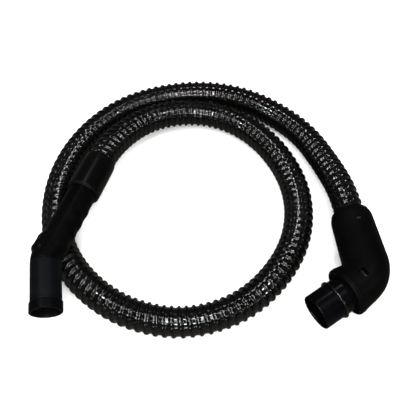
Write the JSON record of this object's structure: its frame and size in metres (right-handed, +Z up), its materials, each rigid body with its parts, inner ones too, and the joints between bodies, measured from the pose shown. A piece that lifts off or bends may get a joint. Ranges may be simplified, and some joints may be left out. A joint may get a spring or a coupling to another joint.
{
  "type": "suction hose assembly",
  "caption": "Coiled ribbed suction hose with a bent swivelling hand tube with bleed cover at one end and a swivelling elbow with a plug-in spigot at the other.",
  "frame": {"origin": "on the floor under the middle of the box around the rigid fittings, which leaves the hose itself out", "axes": "+X from the hand tube's side to the elbow's side, +Y from the fittings' mouths towards the far side of the coil, +Z up from the floor that the coil lies on"},
  "size_m": [0.4408, 0.4104, 0.0789],
  "materials": {
    "hose_pvc": "glossy smoky black ribbed PVC",
    "soft_vinyl": "matt black soft vinyl",
    "seal_rubber": "black sealing rubber",
    "tube_abs": "satin black ABS",
    "tool_abs": "satin anthracite ABS",
    "elbow_abs": "fine-textured black ABS",
    "spigot_pp": "glossy black polypropylene",
    "nylon": "dark glass-filled nylon",
    "acetal": "dark graphite-filled acetal"
  },
  "bodies": {
    "hose_body": {"hose": "hose_pvc", "hand_cuff": "soft_vinyl", "hand_bush": "nylon", "hand_gasket": "seal_rubber", "retainer_upper": "nylon", "retainer_lower": "nylon", "elbow_bush": "tube_abs", "bush_seal": "seal_rubber"},
    "hand_tube_body": {"grip_tube": "tube_abs", "tool_tube": "tool_abs", "mouth_ring": "tube_abs", "bleed_frame": "tube_abs"},
    "bleed_body": {"bleed_slide": "nylon"},
    "elbow_body": {"elbow_shell": "elbow_abs", "bush_clip": "nylon", "outlet_collar": "elbow_abs", "thrust_washer": "acetal", "face_seal": "seal_rubber"},
    "spigot_body": {"spigot": "spigot_pp", "bead_seal": "seal_rubber"}
  },
  "joints": [
    {"name": "tube_swivel", "type": "hinge", "parent": "hose_body", "child": "hand_tube_body", "pos_m": [-0.19685, -0.04467, 0.05924], "axis": [-0.2831, -0.9559, 0.0785], "continuous": true},
    {"name": "bleed_travel", "type": "slide", "parent": "hand_tube_body", "child": "bleed_body", "axis": [-0.2831, -0.9559, 0.0785], "range_m": [0, 0.0074]},
    {"name": "elbow_swivel", "type": "hinge", "parent": "hose_body", "child": "elbow_body", "pos_m": [0.189, -0.0553, 0.03475], "axis": [0.1305, -0.9914, 0], "continuous": true},
    {"name": "spigot_swivel", "type": "hinge", "parent": "elbow_body", "child": "spigot_body", "pos_m": [0.189, -0.0553, 0.03475], "axis": [-0.832, -0.5438, -0.11], "continuous": true}
  ]
}
